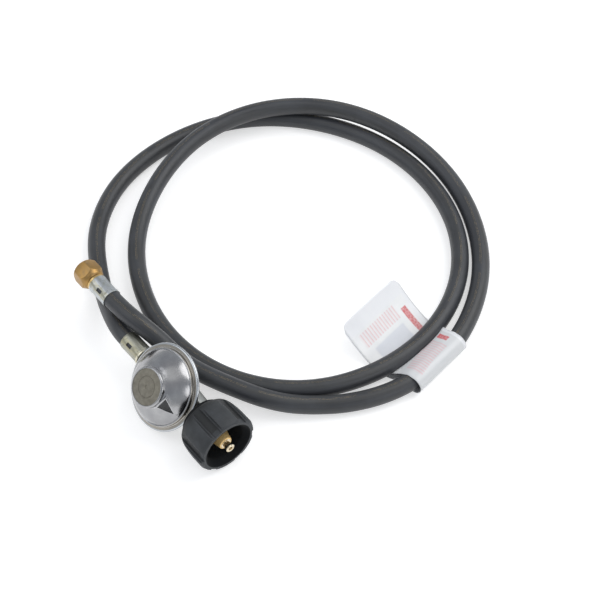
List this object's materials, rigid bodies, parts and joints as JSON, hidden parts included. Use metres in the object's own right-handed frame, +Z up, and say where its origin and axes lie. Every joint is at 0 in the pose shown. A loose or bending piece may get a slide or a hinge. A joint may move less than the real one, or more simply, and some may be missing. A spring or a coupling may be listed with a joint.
{
  "type": "propane regulator hose",
  "caption": "Low-pressure gas regulator with a lobed wheel-nut cylinder inlet, a coiled rubber hose with crimped ferrules and a brass flare nut at its far end.",
  "frame": {"origin": "the middle of the floor under the regulator as it lies, between its outlet boss and the tip of its inlet nipple", "axes": "+X along the inlet axis, towards the wheel nut and the gas cylinder; +Z up from the floor that the regulator and the hose lie on; the hose's turns lie towards +Y"},
  "size_m": [0.3423, 0.3582, 0.0566],
  "materials": {
    "cast_zinc": "cast zinc alloy with a satin, faintly grainy skin",
    "plated_cover": "bright chromate plating, satin with soft reflections",
    "cap_plastic": "matte moulded plastic, brownish grey",
    "dark_mesh": "fine dark screen",
    "black_rubber": "moulded nitrile rubber",
    "zinc_plate": "zinc-plated pressed steel",
    "spring_steel": "drawn and plated steel",
    "brass": "turned brass",
    "polished_brass": "turned and polished brass",
    "satin_brass": "satin brass, slightly dulled",
    "bright_collar": "bright turned metal",
    "crimped_zinc": "yellow-zinc plated steel, crimped",
    "pale_tip": "pale moulded plastic",
    "black_plastic": "matte black moulded nylon",
    "hose_rubber": "extruded black rubber with a fine lengthwise sheen",
    "tag_film": null
  },
  "bodies": {
    "regulator": {"lower_body": "cast_zinc", "diaphragm_cover": "plated_cover", "tower_cap": "cap_plastic", "adjusting_screw": "brass", "vent_screen": "dark_mesh", "diaphragm": "black_rubber", "main_spring": "spring_steel", "lever_pin": "spring_steel", "orifice": "brass", "inlet_nipple": "polished_brass", "retaining_ring": "spring_steel", "poppet_cage": "pale_tip", "poppet_spring": "spring_steel", "outlet_stem": "bright_collar", "regulator_ferrule": "crimped_zinc", "hose": "hose_rubber", "fitting_ferrule": "crimped_zinc", "fitting_stem": "brass", "instruction_tag": "tag_film"},
    "diaphragm_stack": {"diaphragm_plate": "zinc_plate", "pressure_post": "brass", "relief_spring": "spring_steel", "relief_retainer": "zinc_plate"},
    "valve_lever": {"lever": "spring_steel"},
    "valve": {"valve_slide": "brass", "seat_disc": "black_rubber"},
    "poppet": {"flow_poppet": "brass"},
    "bushing": {"thermal_bushing": "black_plastic"},
    "cylinder_nut": {"wheel_nut": "black_plastic"},
    "outlet_nut": {"flare_nut": "satin_brass"}
  },
  "joints": [
    {"name": "diaphragm_lift", "type": "slide", "parent": "regulator", "child": "diaphragm_stack", "axis": [0, -0.766, 0.6428], "range_m": [0, 0.002], "stiffness_N_per_m": 200, "springref_m": -0.01, "deforming": ["main_spring", "diaphragm"]},
    {"name": "lever_swing", "type": "hinge", "parent": "regulator", "child": "valve_lever", "pos_m": [-0.00865, 0.00896, 0.02032], "axis": [0, 0.6428, 0.766], "range_deg": [0, 12.74]},
    {"name": "valve_shut", "type": "slide", "parent": "regulator", "child": "valve", "axis": [1, 0, 0], "range_m": [0, 0.00112]},
    {"name": "flow_check", "type": "slide", "parent": "regulator", "child": "poppet", "axis": [-1, 0, 0], "range_m": [0, 0.002], "stiffness_N_per_m": 40, "springref_m": -0.005, "deforming": ["poppet_spring"]},
    {"name": "bushing_float", "type": "slide", "parent": "regulator", "child": "bushing", "axis": [1, 0, 0], "range_m": [0, 0.0015]},
    {"name": "wheel_nut_spin", "type": "hinge", "parent": "bushing", "child": "cylinder_nut", "pos_m": [0.03385, 0.00398, 0.0245], "axis": [1, 0, 0], "continuous": true},
    {"name": "flare_nut_spin", "type": "hinge", "parent": "regulator", "child": "outlet_nut", "pos_m": [-0.1388, 0.0118, 0.0372], "axis": [-1, 0, 0], "continuous": true}
  ],
  "couplings": [
    {"joint": "lever_swing", "follows": "diaphragm_lift", "rad_per_m": 111.11},
    {"joint": "valve_shut", "follows": "diaphragm_lift", "ratio": 0.55556}
  ]
}
